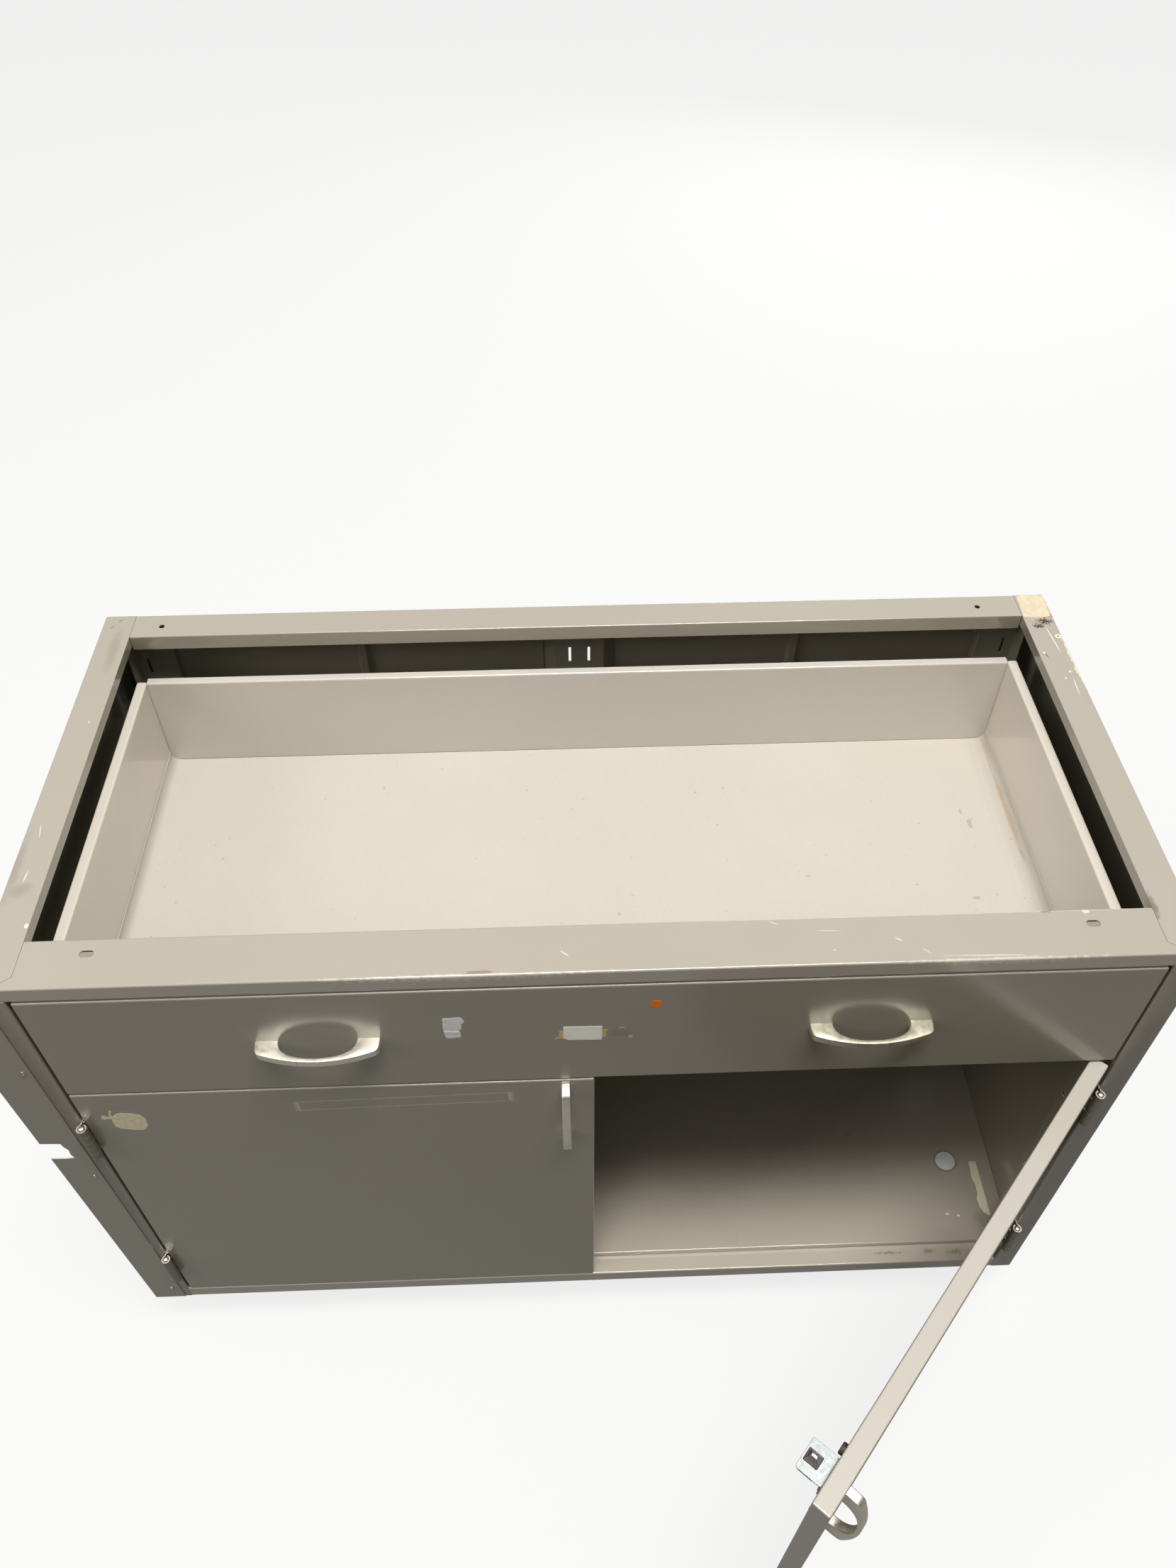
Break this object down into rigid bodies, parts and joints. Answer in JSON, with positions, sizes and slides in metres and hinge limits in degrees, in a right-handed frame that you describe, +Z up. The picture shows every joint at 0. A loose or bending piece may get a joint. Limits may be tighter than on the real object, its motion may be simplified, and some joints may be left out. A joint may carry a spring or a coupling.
{
  "type": "base cabinet",
  "caption": "Painted steel base cabinet without its worktop: one wide drawer on roller runners over a cupboard with a pair of inset hinged doors, on a recessed base.",
  "frame": {"origin": "on the floor, under the middle of the cabinet body's 1194 by 560 mm plan", "axes": "+X to the viewer's right along the cabinet's width, +Y to its back, +Z up"},
  "size_m": [1.232, 0.9811, 0.871],
  "materials": {
    "taupe_enamel": "semi-gloss baked enamel, warm taupe grey",
    "drawer_enamel": "semi-gloss baked enamel, pale warm grey",
    "pull_aluminium": "satin cast aluminium",
    "hinge_nickel": "bright nickel plate",
    "catch_zinc": "bright zinc plate",
    "bolt_chrome": "polished chrome plate",
    "screw_zinc": "zinc-plated steel",
    "runner_steel": "galvanised steel",
    "roller_nylon": "white nylon",
    "plug_steel": "satin plated cap",
    "bumper_rubber": "dark grey-green rubber"
  },
  "bodies": {
    "cabinet": {"side_left": "taupe_enamel", "side_right": "taupe_enamel", "top_front_rail": "taupe_enamel", "top_rear_rail": "taupe_enamel", "mid_rail": "taupe_enamel", "catch_strikes": "screw_zinc", "bottom_rail": "taupe_enamel", "floor_panel": "taupe_enamel", "floor_plugs": "plug_steel", "toe_base": "taupe_enamel", "leveller_channels": "runner_steel", "levelling_screws": "screw_zinc", "centre_post": "taupe_enamel", "corner_post_left": "taupe_enamel", "corner_post_right": "taupe_enamel", "back_panel_left": "taupe_enamel", "back_panel_right": "taupe_enamel", "shelf": "taupe_enamel", "shelf_brackets": "runner_steel", "runner_left": "runner_steel", "runner_right": "runner_steel", "front_roller_axles": "runner_steel", "stile_left_hinge_leaves": "hinge_nickel", "stile_right_hinge_leaves": "hinge_nickel", "hinge_pins": "hinge_nickel", "stile_screws": "screw_zinc", "filler_strip": "taupe_enamel", "filler_screws": "screw_zinc"},
    "drawer": {"drawer_front": "taupe_enamel", "drawer_front_liner": "drawer_enamel", "drawer_side_left": "drawer_enamel", "drawer_side_right": "drawer_enamel", "drawer_back": "drawer_enamel", "drawer_bottom": "drawer_enamel", "drawer_rail_left": "runner_steel", "drawer_rail_right": "runner_steel", "drawer_pull_left": "pull_aluminium", "drawer_pull_right": "pull_aluminium", "drawer_pull_screws": "screw_zinc", "rear_roller_axles": "runner_steel"},
    "door_left": {"door_left": "taupe_enamel", "door_left_liner": "taupe_enamel", "door_left_hinge_leaves": "hinge_nickel", "door_left_pull": "pull_aluminium", "door_left_pull_screws": "screw_zinc", "door_left_catch": "catch_zinc", "door_left_bumper": "bumper_rubber"},
    "latch_bolt_left": {"door_left_bolt": "bolt_chrome"},
    "front_roller_left": {"front_roller_left": "roller_nylon"},
    "rear_roller_left": {"rear_roller_left": "roller_nylon"},
    "door_right": {"door_right": "taupe_enamel", "door_right_liner": "taupe_enamel", "door_right_hinge_leaves": "hinge_nickel", "door_right_pull": "pull_aluminium", "door_right_pull_screws": "screw_zinc", "door_right_catch": "catch_zinc", "door_right_bumper": "bumper_rubber"},
    "latch_bolt_right": {"door_right_bolt": "bolt_chrome"},
    "front_roller_right": {"front_roller_right": "roller_nylon"},
    "rear_roller_right": {"rear_roller_right": "roller_nylon"}
  },
  "joints": [
    {"name": "drawer_slide", "type": "slide", "parent": "cabinet", "child": "drawer", "axis": [0, -1, 0], "range_m": [0, 0.4]},
    {"name": "door_left_swing", "type": "hinge", "parent": "cabinet", "child": "door_left", "pos_m": [-0.5668, -0.288, 0.398], "axis": [0, 0, -1], "range_deg": [0, 170]},
    {"name": "door_right_swing", "type": "hinge", "parent": "cabinet", "child": "door_right", "pos_m": [0.5668, -0.288, 0.398], "axis": [0, 0, 1], "range_deg": [-47.85, 122.15]},
    {"name": "latch_bolt_left_slide", "type": "slide", "parent": "door_left", "child": "latch_bolt_left", "axis": [0, 0, -1], "range_m": [0, 0.008], "stiffness_N_per_m": 300, "springref_m": -0.004},
    {"name": "front_roller_left_spin", "type": "hinge", "parent": "cabinet", "child": "front_roller_left", "pos_m": [-0.5625, -0.24, 0.7116], "axis": [1, 0, 0], "range_deg": [0, 2547.48]},
    {"name": "rear_roller_left_spin", "type": "hinge", "parent": "drawer", "child": "rear_roller_left", "pos_m": [-0.5613, 0.192, 0.71075], "axis": [1, 0, 0], "range_deg": [0, 2492.12]},
    {"name": "latch_bolt_right_slide", "type": "slide", "parent": "door_right", "child": "latch_bolt_right", "axis": [0, 0, -1], "range_m": [0, 0.008], "stiffness_N_per_m": 300, "springref_m": -0.004},
    {"name": "front_roller_right_spin", "type": "hinge", "parent": "cabinet", "child": "front_roller_right", "pos_m": [0.5625, -0.24, 0.7116], "axis": [1, 0, 0], "range_deg": [0, 2547.48]},
    {"name": "rear_roller_right_spin", "type": "hinge", "parent": "drawer", "child": "rear_roller_right", "pos_m": [0.5613, 0.192, 0.71075], "axis": [1, 0, 0], "range_deg": [0, 2492.12]}
  ],
  "couplings": [
    {"joint": "front_roller_left_spin", "follows": "drawer_slide", "rad_per_m": 111.11},
    {"joint": "rear_roller_left_spin", "follows": "drawer_slide", "rad_per_m": 108.7},
    {"joint": "front_roller_right_spin", "follows": "drawer_slide", "rad_per_m": 111.11},
    {"joint": "rear_roller_right_spin", "follows": "drawer_slide", "rad_per_m": 108.7}
  ]
}
